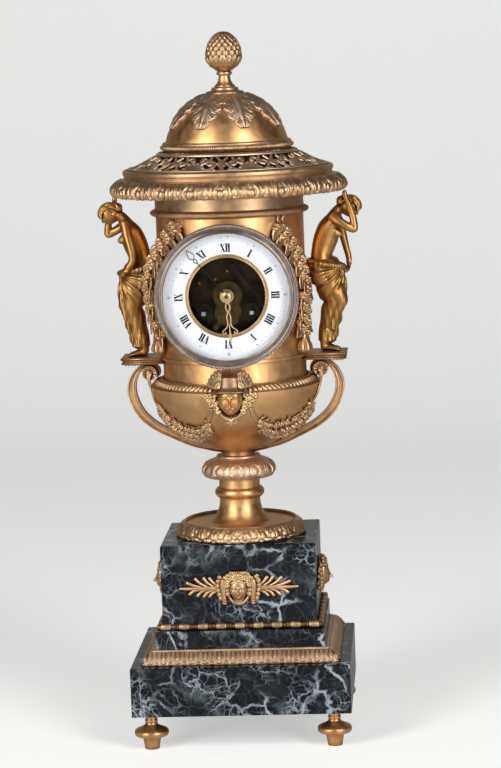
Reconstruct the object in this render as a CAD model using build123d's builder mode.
from build123d import *
from math import atan2, cos, degrees, hypot, radians, sin, sqrt
import os

# A mantel clock in the form of a lidded urn: marble base, gilt bronze urn with two standing
# maidens, and a round eight-day movement with an open centre.
# Millimetres. X to the right, Y to the back, Z up. The origin is on the floor under the centre.

os.makedirs("parts", exist_ok=True)

# Clearances that several pieces share
fit_gap = 0.05
part_gap = 0.4
overrun = 2.0

# Heights of the pieces that stand on one another
foot_height = 30.3
base_height = 41.7
step_height = 27.0
plinth_height = 72.0
pedestal_height = 51.0
collar_height = 18.0
bowl_height = 61.7
body_height = 143.0
neck_height = 17.8
cornice_height = 14.7
lid_rim_height = 7.8
gallery_height = 13.7
dome_ring_height = 8.4
finial_base_height = 19.0
finial_height = 34.0

# Marble and the gilt frames on it
base_width = 185.0
base_depth = 163.0
step_width = 143.0
step_depth = 125.0
plinth_width = 131.0
plinth_depth = 113.0
marble_chamfer = 0.8
leaf_frame_spread = 12.5
leaf_frame_height = 12.0
leaf_frame_lip = 2.4
leaf_width = 11.9
leaf_groove = 0.7
bead_frame_height = 6.5
bead_frame_setback = 0.75
bead_pitch = 15.9
bead_groove = 0.9
reel_width = 1.2

# Feet
foot_inset = 15.0
foot_disc_radius = 14.5
foot_neck_radius = 4.6
foot_peg_radius = 7.6
foot_tip_radius = 5.8
foot_peg_height = 10.4
foot_disc_height = 10.4

# Head mounts on the plinth
mount_rise = 35.6
mount_length = 100.0
mount_thickness = 2.4
mount_head_width = 21.0
mount_head_height = 25.0
mount_lappet_width = 36.0
spray_leaf_length = 15.0
spray_leaf_width = 4.6
spray_leaves = 5

# Foot of the urn
foot_ring_radius = 55.8
foot_ring_inner_radius = 46.9
foot_ring_height = 13.3
pedestal_floor = 10.5
flare_radius = 26.0
stem_radius = 17.4
knop_radius = 21.2
knop_height = 9.0
knop_rise = 32.0
collar_radius = 31.7
collar_flange_radius = 18.6
collar_flange_height = 2.6
collar_lobes = 16
collar_lobe_depth = 1.6
rod_radius = 4.0
rod_gap = 0.5
rod_end = 3.0
nut_width = 14.0
nut_height = 6.0
nut_recess_radius = 17.0
nut_recess_depth = 14.0

# Bowl, shoulder and body of the urn
wall = 2.2
bowl_foot_radius = 12.6
bowl_foot_height = 4.0
bowl_turn_radius = 50.0
bowl_turn_rise = 22.0
bowl_rim_radius = 72.4
bowl_rim_width = 3.0
shoulder_height = 6.8
shoulder_ledge = 1.3
shoulder_drop = 3.0
body_radius = 62.7
body_lower_radius = 61.0
body_step_radius = 63.6
body_step_rise = 22.0
body_step_height = 2.2
neck_radius = 63.1
neck_ring_radius = 67.7
neck_ring_height = 6.0

# Lid
cornice_radius = 101.0
cornice_foot_radius = 95.5
cornice_top_radius = 92.0
cornice_foot_height = 5.0
egg_count = 24
egg_width = 21.0
egg_taper = 24.0
lid_rim_radius = 90.2
lid_rim_width = 6.0
gallery_outer_radius = 88.5
gallery_inner_radius = 50.0
gallery_thickness = 1.8
gallery_repeats = 10
gallery_flat_width = 7.0
gallery_sag = 2.2
dome_ring_radius = 56.6
dome_radius = 53.0
dome_center_drop = 11.4
dome_wall = 1.8
dome_leaf_thickness = 1.5
dome_leaf_length = 30.0
dome_leaf_width = 19.0
dome_leaves_count = 8
finial_seat_radius = 16.9
finial_neck_radius = 4.9
finial_ring_radius = 6.7
finial_ring_height = 3.4
finial_radius = 15.3
calyx_radius = 17.2
stud_radius = 2.5

# Shelves and scroll handles
shelf_thickness = 6.3
shelf_reach = 96.3
shelf_depth = 38.0
shelf_rise = 17.7
gadroon_length = 16.0
gadroon_count = 7
handle_reach = 92.7
handle_width = 10.0
handle_band = 7.5
handle_foot_band = 3.4
handle_channel = 1.6
rosette_radius = 7.3
rosette_offset = 72.2
rosette_drop = 8.2
rosette_width = 13.0

# Maidens
figure_height = 128.0
figure_offset = 82.0
figure_head_offset = 104.5
figure_head_width = 15.0
figure_head_depth = 21.0
figure_head_height = 21.0
figure_bun_radius = 5.4
arm_radius = 3.6
wrist_radius = 2.1
foot_length = 17.0
foot_width = 6.4
sole_height = 4.0

# Ornaments laid on the urn
garland_relief = 6.0
garland_width = 17.0
festoon_relief = 5.0
mask_width = 22.0
mask_height = 30.0
mask_relief = 17.0
mask_rise = 47.0
hat_brim_width = 40.0
hat_height = 11.0
hat_wing_spread = 16.0
hat_wing_height = 15.0

# Dial and its drum, measured from the dial's centre, with depths along Y from the urn's axis
dial_rise = 79.5
drum_radius = 58.0
drum_wall = 2.0
drum_front = -70.0
drum_back = -22.0
lug_width = 8.0
lug_height = 7.4
lug_depth = 8.0
bezel_radius = 60.0
bezel_sight_radius = 54.2
bezel_depth = 5.6
glass_thickness = 1.7
glass_seat = 1.2
hinge_radius = 1.4
hinge_pin_radius = 0.7
hinge_setback = 1.5
knuckle_length = 3.0
pan_front = -64.2
pan_thickness = 1.4
pan_inner_radius = 33.0
pan_post_radius = 2.0
pan_post_circle = 40.0
enamel_radius = 55.6
enamel_inner_radius = 36.2
enamel_thickness = 1.8
sight_ring_radius = 37.2
sight_ring_flange = 0.8
regulator_radius = 0.9
regulator_rise = 46.5
regulator_hole_radius = 1.7

# Hands
minute_hand_length = 51.0
minute_hand_tail = 3.4
minute_hand_turn = -39.5
hour_hand_length = 40.0
hour_hand_turn = 176.5
hand_thickness = 0.6
hand_width = 4.6
hand_slit = 1.0
collet_thickness = 1.0
hour_hand_front = -68.4
minute_hand_front = -70.6
arbor_front = -72.2

# Movement frame
plate_radius = 45.0
plate_thickness = 2.0
front_plate_front = -53.5
back_plate_front = -21.5
pillar_radius = 2.6
pillar_circle = 38.5
pillar_bearing = 45.0
arbor_radius = 1.2
pivot_radius = 0.9

# Winding and barrels
winding_spread = 20.0
winding_drop = 14.5
winding_radius = 2.0
winding_front = -66.5
winding_square = 3.0
winding_square_length = 9.0
barrel_radius = 17.0
barrel_front = -50.5
barrel_back = -25.0
barrel_rim_thickness = 2.0
barrel_teeth = 60
ratchet_teeth = 20
ratchet_radius = 7.4
ratchet_thickness = 1.6
ratchet_tooth = 1.2

# Going train and motion work
pinion_teeth = 12
pinion_length = 3.6
center_teeth = 60
center_wheel_front = -24.0
wheel_thickness = 1.4
third_offset = -10.0
third_rise = 12.9
third_pinion_teeth = 10
third_teeth = 48
third_wheel_front = -34.2
escape_rise = 19.35
escape_pinion_teeth = 8
escape_teeth = 30
escape_radius = 9.0
escape_tooth = 2.0
escape_wheel_front = -44.0
tooth_addendum_share = 0.72
tooth_dedendum_share = 1.05
tooth_root_share = 0.25
tooth_tip_share = 0.10
cannon_teeth = 12
minute_wheel_teeth = 36
minute_pinion_teeth = 10
hour_wheel_teeth = 40
minute_wheel_drop = 15.0
minute_wheel_front = -56.6
minute_pinion_length = 3.4
minute_cock_offset = 11.0
minute_cock_drop = 27.0
minute_cock_width = 4.4
hour_wheel_front = -59.6
cannon_radius = 2.0
hour_pipe_radius = 3.0

# Escapement and pendulum
pendulum_pivot_rise = 36.0
anchor_reach = 7.6
anchor_drop = 9.0
anchor_width = 2.4
anchor_thickness = 5.0
anchor_front = -46.0
crutch_length = 26.0
crutch_width = 2.0
fork_back = -6.5
fork_wall = 1.2
suspension_rise = 6.0
pendulum_depth = -8.0
pendulum_length = 133.0
pendulum_rod_width = 2.4
pendulum_rod_thickness = 1.0
bob_radius = 14.0
bob_thickness = 7.0
cock_width = 18.0
cock_height = 8.0
cock_thickness = 2.0
cock_back = -5.0

# Strike
pin_wheel_bearing = -8.0
pin_wheel_radius = 7.0
pin_wheel_front = -45.2
pin_count = 8
pin_radius = 0.6
pin_length = 3.0
bell_radius = 35.0
bell_depth = 18.0
bell_wall = 1.3
bell_front = 8.0
bell_post_offset = -24.0
bell_post_drop = 27.0
bell_post_radius = 2.2
bell_bar_width = 6.0
bell_bar_gap = 3.0
hammer_offset = 37.0
hammer_rise = 12.0
hammer_head_bearing = 45.0
hammer_head_radius = 3.2
hammer_head_length = 11.0
hammer_gap = 0.6
hammer_arm_width = 2.4
lever_offset = 4.0
lever_rise = 23.3
lever_run = 21.5
lever_fall = 26.2
lever_tail_run = 5.0
lever_tail_fall = 15.1
lever_width = 2.2
lever_thickness = 1.0

# Rear of the case
rear_ring_radius = 52.0
rear_ring_wall = 2.0
rear_ring_front = 31.0
rear_ring_back = 66.0
rear_door_radius = 54.0
rear_door_thickness = 1.8
rear_knob_radius = 3.0
strap_width = 8.0
strap_thickness = 1.6
strap_inset = 3.4

# Levels worked out from the heights
base_top = foot_height + base_height
step_top = base_top + step_height
plinth_top = step_top + plinth_height
pedestal_top = plinth_top + pedestal_height
collar_top = pedestal_top + collar_height
bowl_top = collar_top + bowl_height
body_bottom = bowl_top + shoulder_ledge
body_top = body_bottom + body_height
neck_top = body_top + neck_height
cornice_top = neck_top + cornice_height
lid_rim_top = cornice_top + lid_rim_height
gallery_top = lid_rim_top + gallery_height
dome_bottom = gallery_top + dome_ring_height
dome_center = dome_bottom - dome_center_drop
dome_top = dome_center + sqrt(dome_radius**2 - finial_seat_radius**2)
finial_base_top = dome_top + finial_base_height
top = finial_base_top + finial_height
dial_z = body_bottom + dial_rise
shelf_bottom = body_bottom + shelf_rise
shelf_top = shelf_bottom + shelf_thickness
rod_hole_radius = rod_radius + rod_gap
dial_axis = Axis((0, 0, dial_z), (0, 1, 0))
dial_section = Plane(origin=(0, 0, dial_z), x_dir=(1, 0, 0), z_dir=(0, 0, 1))


def facing(depth, across=0.0, rise=0.0):
    """A plane that faces the front, at a depth along Y, placed from the dial's centre."""
    return Plane(origin=(across, depth, dial_z + rise), x_dir=(1, 0, 0), z_dir=(0, -1, 0))


def facing_turned(depth, turn):
    """A plane that faces the front on the dial's centre, with its up direction turned clockwise."""
    angle = radians(turn)
    across = (cos(angle), 0, -sin(angle))
    return Plane(origin=(0, depth, dial_z), x_dir=across, z_dir=(0, -1, 0))


def toothed_outline(teeth, pitch_radius, turn=0.0):
    """Corners of a wheel whose teeth narrow to the tip, one tooth pointing at the turn."""
    module = 2 * pitch_radius / teeth
    root = pitch_radius - tooth_dedendum_share * module
    tip = pitch_radius + tooth_addendum_share * module
    step = 360 / teeth
    corners = []
    for tooth in range(teeth):
        middle = turn + tooth * step
        for radius, share in (
            (root, -tooth_root_share),
            (tip, -tooth_tip_share),
            (tip, tooth_tip_share),
            (root, tooth_root_share),
        ):
            angle = radians(middle + share * step)
            corners.append((radius * sin(angle), radius * cos(angle)))
    return corners


def saw_outline(teeth, tip, depth):
    """Corners of a ratchet or escape wheel: one long flank and one radial flank a tooth."""
    corners = []
    for tooth in range(teeth):
        for radius, share in ((tip - depth, 0), (tip, 0.86), (tip - depth, 0.94)):
            angle = radians((tooth + share) * 360 / teeth)
            corners.append((radius * sin(angle), radius * cos(angle)))
    return corners


def meshing_turn(turn, teeth, other_teeth, bearing):
    """The turn that puts a gap of the other wheel on a tooth of this one."""
    phase = (bearing - turn) * teeth / 360
    return bearing + 180 - (0.5 - phase) * 360 / other_teeth


def pitch_share(distance, teeth, other_teeth):
    """Pitch radius of the first of two wheels that mesh at a distance."""
    return distance * teeth / (teeth + other_teeth)


def bearing_of(across, rise):
    """Degrees clockwise from straight up, seen from the front."""
    return 90 - degrees(atan2(rise, across))


# Lower marble block, drilled for the tie rod and recessed below for its nut
with BuildPart() as base_block:
    with BuildSketch(Plane.XY.offset(foot_height)):
        Rectangle(base_width, base_depth)
    extrude(amount=base_height)
    chamfer(base_block.edges().filter_by(Axis.Z), marble_chamfer)
    chamfer(base_block.edges().group_by(Axis.Z)[-1], marble_chamfer)
    with BuildSketch(Plane.XY.offset(foot_height)):
        Circle(rod_hole_radius)
    extrude(amount=base_height, mode=Mode.SUBTRACT)
    with BuildSketch(Plane.XY.offset(foot_height)):
        Circle(nut_recess_radius)
    extrude(amount=nut_recess_depth, mode=Mode.SUBTRACT)
base_block.part.label = "base_block"
export_step(base_block.part, "parts/base_block.step")

# Middle marble step
with BuildPart() as step_block:
    with BuildSketch(Plane.XY.offset(base_top)):
        Rectangle(step_width, step_depth)
        Circle(rod_hole_radius, mode=Mode.SUBTRACT)
    extrude(amount=step_height)
step_block.part.label = "step_block"
export_step(step_block.part, "parts/step_block.step")

# Upper marble block
with BuildPart() as plinth_block:
    with BuildSketch(Plane.XY.offset(step_top)):
        Rectangle(plinth_width, plinth_depth)
    extrude(amount=plinth_height)
    chamfer(plinth_block.edges().filter_by(Axis.Z), marble_chamfer)
    chamfer(plinth_block.edges().group_by(Axis.Z)[-1], marble_chamfer)
    with BuildSketch(Plane.XY.offset(step_top)):
        Circle(rod_hole_radius)
    extrude(amount=plinth_height, mode=Mode.SUBTRACT)
plinth_block.part.label = "plinth_block"
export_step(plinth_block.part, "parts/plinth_block.step")

# Sloping frame of stiff leaves round the step, scored between the leaves
leaf_run_x = step_width + 2 * leaf_frame_spread
leaf_run_y = step_depth + 2 * leaf_frame_spread
with BuildPart() as leaf_moulding:
    with BuildSketch(Plane.XY.offset(base_top)):
        Rectangle(leaf_run_x, leaf_run_y)
    with BuildSketch(Plane.XY.offset(base_top + leaf_frame_lip)):
        Rectangle(leaf_run_x, leaf_run_y)
    loft(ruled=True)
    with BuildSketch(Plane.XY.offset(base_top + leaf_frame_lip)):
        Rectangle(leaf_run_x, leaf_run_y)
    with BuildSketch(Plane.XY.offset(base_top + leaf_frame_height)):
        Rectangle(step_width + leaf_frame_lip, step_depth + leaf_frame_lip)
    loft(ruled=True)
    leaves_across = round(leaf_run_x / leaf_width)
    leaves_deep = round(leaf_run_y / leaf_width)
    with BuildSketch(Plane.XY.offset(base_top)):
        for side in (-1, 1):
            with Locations((0, side * leaf_run_y / 2)):
                with GridLocations(leaf_run_x / leaves_across, 0, leaves_across + 1, 1):
                    RegularPolygon(leaf_groove, 4)
            with Locations((side * leaf_run_x / 2, 0)):
                with GridLocations(0, leaf_run_y / leaves_deep, 1, leaves_deep + 1):
                    RegularPolygon(leaf_groove, 4)
    extrude(amount=leaf_frame_height, mode=Mode.SUBTRACT)
    with BuildSketch(Plane.XY.offset(base_top)):
        Rectangle(step_width, step_depth)
    extrude(amount=leaf_frame_height, mode=Mode.SUBTRACT)
leaf_moulding.part.label = "leaf_moulding"
export_step(leaf_moulding.part, "parts/leaf_moulding.step")

# Bead and reel frame: grooves cut the bar into beads with thin reels between them
bead_run_x = step_width - 2 * bead_frame_setback
bead_run_y = step_depth - 2 * bead_frame_setback
with BuildPart() as bead_moulding:
    with BuildSketch(Plane.XY.offset(step_top)):
        Rectangle(bead_run_x, bead_run_y)
    extrude(amount=bead_frame_height)
    chamfer(bead_moulding.edges().group_by(Axis.Z)[-1], bead_frame_height / 4)
    with BuildSketch(Plane.XY.offset(step_top)):
        for run, depth_run, turned in ((bead_run_x, bead_run_y, 0), (bead_run_y, bead_run_x, 1)):
            bead_count = int(run / bead_pitch)
            for number in range(bead_count + 1):
                middle = (number - bead_count / 2) * bead_pitch
                for shift in (-reel_width, reel_width):
                    for side in (-depth_run / 2, depth_run / 2):
                        spot = (side, middle + shift) if turned else (middle + shift, side)
                        size = (bead_groove, reel_width / 2)
                        with Locations(spot):
                            Rectangle(*(size if turned else size[::-1]))
    extrude(amount=bead_frame_height, mode=Mode.SUBTRACT)
    with BuildSketch(Plane.XY.offset(step_top)):
        Rectangle(plinth_width, plinth_depth)
    extrude(amount=bead_frame_height, mode=Mode.SUBTRACT)
bead_moulding.part.label = "bead_moulding"
export_step(bead_moulding.part, "parts/bead_moulding.step")

# One turned foot, then the four of them
foot_disc_top = foot_peg_height + foot_disc_height
with BuildPart() as foot:
    with BuildSketch(Plane.XZ):
        with BuildLine():
            Polyline(
                (0, 0),
                (foot_tip_radius, 0),
                (foot_peg_radius, foot_peg_height),
                (foot_disc_radius * 0.86, foot_peg_height),
                (foot_disc_radius, foot_peg_height + foot_disc_height * 0.3),
                (foot_disc_radius, foot_peg_height + foot_disc_height * 0.55),
            )
            ThreePointArc(
                (foot_disc_radius, foot_peg_height + foot_disc_height * 0.55),
                (foot_disc_radius * 0.8, foot_peg_height + foot_disc_height * 0.9),
                (foot_neck_radius, foot_disc_top),
            )
            Polyline(
                (foot_neck_radius, foot_disc_top),
                (foot_neck_radius, foot_height),
                (0, foot_height),
                (0, 0),
            )
        make_face()
    revolve(axis=Axis.Z)
with BuildPart() as feet:
    with GridLocations(base_width - 2 * foot_inset, base_depth - 2 * foot_inset, 2, 2):
        add(foot.part)
feet.part.label = "feet"
export_step(feet.part, "parts/feet.step")

# Head mount with its two palmette sprays, lying on a wall that faces the front
spray_root = mount_lappet_width * 0.4
with BuildPart() as head_mount:
    with BuildSketch(Plane.XZ):
        Rectangle(mount_length * 0.86, mount_thickness)
        for side in (-1, 1):
            for number in range(spray_leaves):
                reach = spray_root + (mount_length / 2 - spray_root) * number / spray_leaves
                for tilt in (-1, 1):
                    place = (side * (reach + spray_leaf_length * 0.34), tilt * spray_leaf_length * 0.3)
                    with Locations(Location((*place, 0), (0, 0, side * tilt * 48))):
                        Ellipse(spray_leaf_length / 2, spray_leaf_width / 2)
            with Locations((side * (mount_length / 2 - spray_leaf_length / 2), 0)):
                Ellipse(spray_leaf_length / 2, spray_leaf_width / 2)
    extrude(amount=mount_thickness)
    with BuildSketch(Plane.XZ):
        with Locations((0, -mount_head_height * 0.1)):
            Trapezoid(mount_lappet_width, mount_head_height * 0.9, 72)
    extrude(amount=mount_thickness * 1.6)
    with BuildSketch(Plane.XZ):
        Ellipse(mount_head_width / 2, mount_head_height / 2)
        Rectangle(mount_head_width, mount_head_height, align=(Align.MIN, Align.CENTER), mode=Mode.SUBTRACT)
    revolve(axis=Axis.Z, revolution_arc=180)
with BuildPart() as plinth_mounts:
    mount_level = step_top + mount_rise
    with Locations((0, -plinth_depth / 2, mount_level)):
        add(head_mount.part)
    for side in (-1, 1):
        with Locations(Location((side * plinth_width / 2, 0, mount_level), (0, 0, side * 90))):
            add(head_mount.part)
plinth_mounts.part.label = "plinth_mounts"
export_step(plinth_mounts.part, "parts/plinth_mounts.step")

# Ornamented ring on the plinth
with BuildPart() as foot_ring:
    with BuildSketch(Plane.XZ):
        with BuildLine():
            Line((foot_ring_inner_radius, plinth_top), (foot_ring_radius * 0.96, plinth_top))
            ThreePointArc(
                (foot_ring_radius * 0.96, plinth_top),
                (foot_ring_radius, plinth_top + foot_ring_height / 2),
                (foot_ring_inner_radius + wall, plinth_top + foot_ring_height),
            )
            Polyline(
                (foot_ring_inner_radius + wall, plinth_top + foot_ring_height),
                (foot_ring_inner_radius, plinth_top + foot_ring_height),
                (foot_ring_inner_radius, plinth_top),
            )
        make_face()
    revolve(axis=Axis.Z)
foot_ring.part.label = "foot_ring"
export_step(foot_ring.part, "parts/foot_ring.step")

# Turned pedestal: dished floor, flare, knop and stem
knop_bottom = plinth_top + knop_rise
with BuildPart() as pedestal:
    with BuildSketch(Plane.XZ):
        with BuildLine():
            Polyline(
                (stem_radius, knop_bottom + knop_height),
                (stem_radius, pedestal_top),
                (rod_hole_radius, pedestal_top),
                (rod_hole_radius, plinth_top),
                (foot_ring_inner_radius, plinth_top),
                (foot_ring_inner_radius, plinth_top + pedestal_floor),
                (flare_radius, plinth_top + pedestal_floor + wall / 2),
            )
            ThreePointArc(
                (flare_radius, plinth_top + pedestal_floor + wall / 2),
                (stem_radius * 1.09, plinth_top + (pedestal_floor + knop_rise) / 2),
                (stem_radius, knop_bottom),
            )
            ThreePointArc(
                (stem_radius, knop_bottom),
                (knop_radius, knop_bottom + knop_height / 2),
                (stem_radius, knop_bottom + knop_height),
            )
        make_face()
    revolve(axis=Axis.Z)
pedestal.part.label = "pedestal"
export_step(pedestal.part, "parts/pedestal.step")

# Ball collar under the bowl, lobed round its edge, with a flat flange on top
collar_ball_top = collar_top - collar_flange_height
with BuildPart() as stem_collar:
    with BuildSketch(Plane.XZ):
        with BuildLine():
            Polyline(
                (collar_flange_radius, collar_ball_top),
                (collar_flange_radius, collar_top),
                (rod_hole_radius, collar_top),
                (rod_hole_radius, pedestal_top),
                (stem_radius, pedestal_top),
            )
            ThreePointArc(
                (stem_radius, pedestal_top),
                (collar_radius, (pedestal_top + collar_ball_top) / 2),
                (collar_flange_radius, collar_ball_top),
            )
        make_face()
    revolve(axis=Axis.Z)
    with BuildSketch(Plane.XY.offset(pedestal_top)):
        with PolarLocations(collar_radius, collar_lobes):
            RegularPolygon(collar_lobe_depth, 4)
    extrude(amount=collar_height, mode=Mode.SUBTRACT)
stem_collar.part.label = "stem_collar"
export_step(stem_collar.part, "parts/stem_collar.step")


def bowl_outline(relief=0.0):
    """The bowl's outer curve from its foot to the rim, pushed outwards by a relief."""
    foot = (bowl_foot_radius + relief, collar_top + bowl_foot_height - relief)
    turn = (bowl_turn_radius + relief * 0.6, collar_top + bowl_turn_rise - relief * 0.8)
    middle_share = 0.5
    sag = bowl_turn_rise * 0.14
    middle = (
        foot[0] + (turn[0] - foot[0]) * middle_share,
        foot[1] + (turn[1] - foot[1]) * middle_share - sag,
    )
    lower = ThreePointArc(foot, middle, turn)
    TangentArc(turn, (bowl_rim_radius + relief, bowl_top), tangent=lower % 1)


# Solid form inside the bowl's outer surface, which the ornaments are cut with
with BuildPart() as bowl_envelope:
    with BuildSketch(Plane.XZ):
        with BuildLine():
            bowl_outline()
            Polyline((bowl_rim_radius, bowl_top), (rod_hole_radius, bowl_top))
            Polyline((rod_hole_radius, bowl_top), (rod_hole_radius, collar_top))
            Polyline((rod_hole_radius, collar_top), (bowl_foot_radius * 1.1, collar_top))
            Line(
                (bowl_foot_radius * 1.1, collar_top),
                (bowl_foot_radius, collar_top + bowl_foot_height),
            )
        make_face()
    revolve(axis=Axis.Z)

# Bowl, spun as a shell with a thick rim
with BuildPart() as bowl:
    add(bowl_envelope.part)
    with BuildSketch(Plane.XZ):
        with BuildLine():
            inner = (bowl_turn_radius - wall * 0.6, collar_top + bowl_turn_rise + wall)
            floor = (rod_hole_radius, collar_top + bowl_foot_height + wall)
            floor_edge = (bowl_foot_radius, floor[1])
            Line(floor, floor_edge)
            Line(floor_edge, inner)
            ThreePointArc(
                inner,
                (bowl_rim_radius - bowl_rim_width * 2.4, (inner[1] + bowl_top) / 2),
                (bowl_rim_radius - bowl_rim_width, bowl_top),
            )
            Line((bowl_rim_radius - bowl_rim_width, bowl_top), (rod_hole_radius, bowl_top))
            Line((rod_hole_radius, bowl_top), floor)
        make_face()
    revolve(axis=Axis.Z, mode=Mode.SUBTRACT)
bowl.part.label = "bowl"
export_step(bowl.part, "parts/bowl.step")

# Sloping band of small leaves on the rim, with a ledge that carries the body
shoulder_top = bowl_top + shoulder_height
with BuildPart() as shoulder_band:
    with BuildSketch(Plane.XZ):
        with BuildLine():
            Polyline(
                (body_lower_radius - wall, bowl_top - shoulder_drop),
                (bowl_rim_radius - 2 * bowl_rim_width, bowl_top - shoulder_drop),
                (bowl_rim_radius - 2 * bowl_rim_width, bowl_top),
                (bowl_rim_radius, bowl_top),
                (bowl_rim_radius, bowl_top + shoulder_ledge / 2),
                (body_step_radius, shoulder_top),
                (body_lower_radius, shoulder_top),
                (body_lower_radius, body_bottom),
                (body_lower_radius - wall, body_bottom),
                close=True,
            )
        make_face()
    revolve(axis=Axis.Z)
shoulder_band.part.label = "shoulder_band"
export_step(shoulder_band.part, "parts/shoulder_band.step")

# Body of the urn, a turned tube with a step moulding, pierced for the dial and the rear ring
body_step_bottom = body_bottom + body_step_rise
with BuildPart() as urn_body:
    with BuildSketch(Plane.XZ):
        with BuildLine():
            Polyline(
                (body_lower_radius - wall, body_bottom),
                (body_lower_radius, body_bottom),
                (body_lower_radius, body_step_bottom),
                (body_step_radius, body_step_bottom),
                (body_step_radius, body_step_bottom + body_step_height),
                (body_radius, body_step_bottom + body_step_height),
                (body_radius, body_top),
                (body_lower_radius - wall, body_top),
                close=True,
            )
        make_face()
    revolve(axis=Axis.Z)
    with BuildSketch(facing(0)):
        Circle(drum_radius)
    extrude(amount=body_step_radius + overrun, mode=Mode.SUBTRACT)
    with BuildSketch(facing(0)):
        Circle(rear_ring_radius)
    extrude(amount=-body_step_radius - overrun, mode=Mode.SUBTRACT)
urn_body.part.label = "urn_body"
export_step(urn_body.part, "parts/urn_body.step")

# Neck with its milled ring
neck_wall = neck_radius - body_lower_radius + wall
with BuildPart() as neck_ring:
    with BuildSketch(Plane.XZ):
        with BuildLine():
            Line((neck_radius - neck_wall, body_top), (neck_radius, body_top))
            ThreePointArc(
                (neck_radius, body_top),
                (neck_ring_radius, body_top + neck_ring_height / 2),
                (neck_radius, body_top + neck_ring_height),
            )
            Polyline(
                (neck_radius, body_top + neck_ring_height),
                (neck_radius, neck_top),
                (neck_radius - neck_wall, neck_top),
                (neck_radius - neck_wall, body_top),
            )
        make_face()
    revolve(axis=Axis.Z)
neck_ring.part.label = "neck_ring"
export_step(neck_ring.part, "parts/neck_ring.step")

# Cornice of eggs, one tapering lobe for each along its lower edge, with a plain rim on top
with BuildPart() as cornice:
    with BuildSketch(Plane.XZ):
        with BuildLine():
            Line((neck_radius - neck_wall, neck_top), (cornice_foot_radius, neck_top))
            Line((cornice_foot_radius, neck_top), (cornice_foot_radius, neck_top + cornice_foot_height))
            ThreePointArc(
                (cornice_foot_radius, neck_top + cornice_foot_height),
                (cornice_top_radius * 1.01, neck_top + cornice_height * 0.7),
                (cornice_top_radius, cornice_top),
            )
            Polyline(
                (cornice_top_radius, cornice_top),
                (lid_rim_radius - lid_rim_width, cornice_top),
                (lid_rim_radius - lid_rim_width, neck_top + cornice_foot_height),
                (neck_radius - neck_wall, neck_top + cornice_foot_height),
                (neck_radius - neck_wall, neck_top),
            )
        make_face()
    revolve(axis=Axis.Z)
    with BuildSketch(Plane.XY.offset(neck_top)):
        with PolarLocations(cornice_radius - egg_width / 2, egg_count):
            Circle(egg_width / 2)
        Circle(cornice_foot_radius - egg_width / 2, mode=Mode.SUBTRACT)
    extrude(amount=cornice_height * 0.8, taper=egg_taper)
    with BuildSketch(Plane.XZ):
        with BuildLine():
            rim_inner = lid_rim_radius - lid_rim_width
            rim_side = lid_rim_radius - lid_rim_height / 2
            Line((rim_inner, cornice_top), (rim_side, cornice_top))
            ThreePointArc(
                (rim_side, cornice_top),
                (lid_rim_radius, cornice_top + lid_rim_height / 2),
                (rim_side, lid_rim_top),
            )
            Polyline((rim_side, lid_rim_top), (rim_inner, lid_rim_top), (rim_inner, cornice_top))
        make_face()
    revolve(axis=Axis.Z)
cornice.part.label = "cornice"
export_step(cornice.part, "parts/cornice.step")

# Pierced gallery: a shallow hollow cone, cut through in repeats of paired scrolls
gallery_cut_radius = (gallery_outer_radius + gallery_inner_radius + gallery_flat_width) / 2
scroll_run = (gallery_outer_radius - gallery_inner_radius) * 0.2
with BuildPart() as gallery:
    with BuildSketch(Plane.XZ):
        with BuildLine():
            seat = (gallery_inner_radius + gallery_flat_width, gallery_top)
            edge = (lid_rim_radius - lid_rim_width / 2 - gallery_thickness, lid_rim_top)
            middle = ((seat[0] + edge[0]) / 2, (seat[1] + edge[1]) / 2 - gallery_sag)
            Polyline((gallery_inner_radius, gallery_top), seat)
            ThreePointArc(seat, middle, (edge[0], edge[1] + gallery_thickness))
            Polyline(
                (edge[0], edge[1] + gallery_thickness),
                edge,
                (lid_rim_radius - lid_rim_width, lid_rim_top),
            )
            ThreePointArc(
                (lid_rim_radius - lid_rim_width, lid_rim_top),
                (middle[0] - gallery_thickness, middle[1] - gallery_thickness * 1.4),
                (seat[0] - gallery_thickness, seat[1] - gallery_thickness),
            )
            Polyline(
                (seat[0] - gallery_thickness, seat[1] - gallery_thickness),
                (gallery_inner_radius, gallery_top - gallery_thickness),
                (gallery_inner_radius, gallery_top),
            )
        make_face()
    revolve(axis=Axis.Z)
    with BuildSketch(Plane.XY.offset(lid_rim_top)):
        with PolarLocations(gallery_cut_radius, gallery_repeats):
            for side in (-1, 1):
                with Locations(Location((0, side * scroll_run * 1.15, 0), (0, 0, side * 24))):
                    SlotOverall(scroll_run * 1.9, scroll_run * 0.72)
                with Locations(Location((0, side * scroll_run * 1.95, 0), (0, 0, side * 34))):
                    SlotOverall(scroll_run * 1.1, scroll_run * 0.5)
            with Locations((scroll_run * 0.7, 0)):
                RegularPolygon(scroll_run * 0.36, 4)
    extrude(amount=gallery_height, mode=Mode.SUBTRACT)
gallery.part.label = "gallery"
export_step(gallery.part, "parts/gallery.step")

# Milled ring that the dome stands on
with BuildPart() as dome_ring:
    with BuildSketch(Plane.XZ):
        with BuildLine():
            dome_ring_inner = gallery_inner_radius - wall
            Line((dome_ring_inner, gallery_top), (dome_ring_radius * 0.98, gallery_top))
            ThreePointArc(
                (dome_ring_radius * 0.98, gallery_top),
                (dome_ring_radius, gallery_top + dome_ring_height / 2),
                (dome_ring_radius * 0.97, dome_bottom),
            )
            Polyline(
                (dome_ring_radius * 0.97, dome_bottom),
                (dome_ring_inner, dome_bottom),
                (dome_ring_inner, gallery_top),
            )
        make_face()
    revolve(axis=Axis.Z)
dome_ring.part.label = "dome_ring"
export_step(dome_ring.part, "parts/dome_ring.step")

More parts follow.
